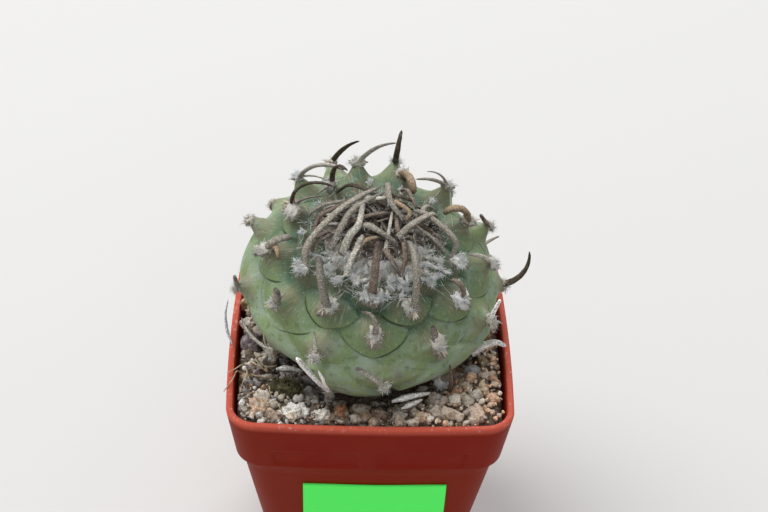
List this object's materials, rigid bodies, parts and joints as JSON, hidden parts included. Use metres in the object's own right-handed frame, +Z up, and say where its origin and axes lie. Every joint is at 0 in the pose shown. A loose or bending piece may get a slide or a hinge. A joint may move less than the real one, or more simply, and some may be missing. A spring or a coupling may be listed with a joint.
{
  "type": "potted cactus",
  "caption": "Squat grey-green globular cactus with scale-like tubercles, curved grey spines and woolly crown, in a small tapered square red-brown plastic pot of grit with a blank green label.",
  "frame": {"origin": "middle of the pot's flat underside", "axes": "+Z up, -Y towards the pot's labelled front, +X to the right seen from the front"},
  "size_m": [0.0604, 0.061, 0.0893],
  "materials": {
    "pot": "satin moulded plastic, scuffed along the rim",
    "label": "bright green sticker paper, bare",
    "soil": null,
    "plant": null,
    "wool_and_spines": null,
    "moss": "dried green-brown moss and root fibres",
    "pale_stone": "white-crusted mineral lump",
    "brown_stone": "red-brown stone",
    "tan_stone": "tan mineral lump",
    "grey_stone": "grey to lilac stone",
    "white_spine": "dry bleached spine"
  },
  "bodies": {
    "root": {"pot": "pot", "label": "label", "soil": "soil", "cactus": "plant", "crown_tuft": "wool_and_spines", "moss_tuft": "moss", "white_crusted_clump_1": "pale_stone", "white_crusted_clump_2": "pale_stone", "brown_stone": "brown_stone", "tan_clump": "tan_stone", "grey_stone": "grey_stone", "lilac_pebble": "grey_stone", "fallen_spine_1": "white_spine", "fallen_spine_2": "white_spine", "fallen_spine_3": "white_spine", "fallen_spine_4": "white_spine"}
  },
  "joints": []
}
